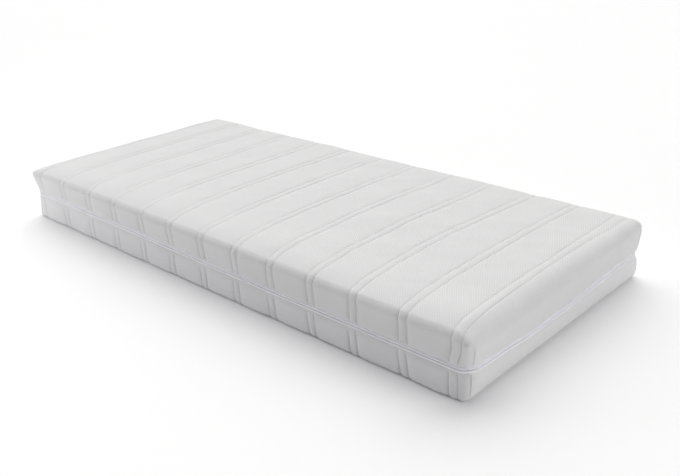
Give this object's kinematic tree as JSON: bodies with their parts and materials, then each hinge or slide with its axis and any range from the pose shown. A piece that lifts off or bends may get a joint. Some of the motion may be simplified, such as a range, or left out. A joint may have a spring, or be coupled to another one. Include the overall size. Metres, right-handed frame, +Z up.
{
  "type": "pressure relief mattress",
  "caption": "Flat single foam mattress with a zoned pressure-relief core in a quilted two-part cover joined by an all-round zip.",
  "frame": {"origin": "centre of the underside, on the surface it rests on", "axes": "+X along the length from the head end to the foot end, +Y across the width to the side with the zip slider, +Z up"},
  "size_m": [2, 0.9, 0.188],
  "materials": {
    "cover_cloth": "white quilted stretch knit with a fine diagonal rib, matt",
    "wadding": "white bonded polyester fibre, matt",
    "lining": "off-white thin non-woven lining, matt",
    "thread": "white spun thread, slight sheen",
    "zip_tape": "white to pale lavender woven tape, slight sheen",
    "zip_coil": "white nylon coil, semi-gloss",
    "zip_metal": "nickel plated, satin",
    "base_foam": "open-cell foam, pale blue-grey, matt",
    "rail_foam": "firm open-cell foam, pale blue, matt",
    "zone_foam": "open-cell foam, cream, matt",
    "soft_zone_foam": "soft open-cell foam, pale green, matt",
    "visco_foam": "visco-elastic foam, pale yellow, matt"
  },
  "bodies": {
    "cover_base": {"bottom_face_cloth": "cover_cloth", "bottom_wadding": "wadding", "bottom_backing": "lining", "bottom_quilting_thread": "thread", "bottom_seam_thread": "thread", "lower_zip_tape": "zip_tape", "lower_zip_coil": "zip_coil", "zip_stops": "zip_metal", "zip_end_tab": "cover_cloth"},
    "core": {"base_foam": "base_foam", "left_side_rail": "rail_foam", "right_side_rail": "rail_foam", "head_zone_insert": "zone_foam", "torso_zone_insert": "zone_foam", "seat_zone_insert": "soft_zone_foam", "leg_zone_insert": "zone_foam", "heel_zone_insert": "soft_zone_foam", "comfort_layer": "visco_foam"},
    "cover_top": {"top_face_cloth": "cover_cloth", "top_wadding": "wadding", "top_backing": "lining", "top_quilting_thread": "thread", "top_seam_thread": "thread", "upper_zip_tape": "zip_tape", "upper_zip_coil": "zip_coil"},
    "zip_slider": {"slider_body": "zip_metal"},
    "zip_pull": {"slider_pull": "zip_metal"}
  },
  "joints": [
    {"name": "core_lift", "type": "slide", "parent": "cover_base", "child": "core", "axis": [0, 0, 1], "range_m": [0, 0.25]},
    {"name": "cover_lift", "type": "slide", "parent": "core", "child": "cover_top", "axis": [0, 0, 1], "range_m": [0, 0.3]},
    {"name": "zip_run", "type": "slide", "parent": "cover_base", "child": "zip_slider", "axis": [-1, 0, 0], "range_m": [0, 1.75]},
    {"name": "pull_swing", "type": "hinge", "parent": "zip_slider", "child": "zip_pull", "pos_m": [0.9, 0.4439, 0.082], "axis": [0, 0, -1], "range_deg": [0, 180]}
  ]
}
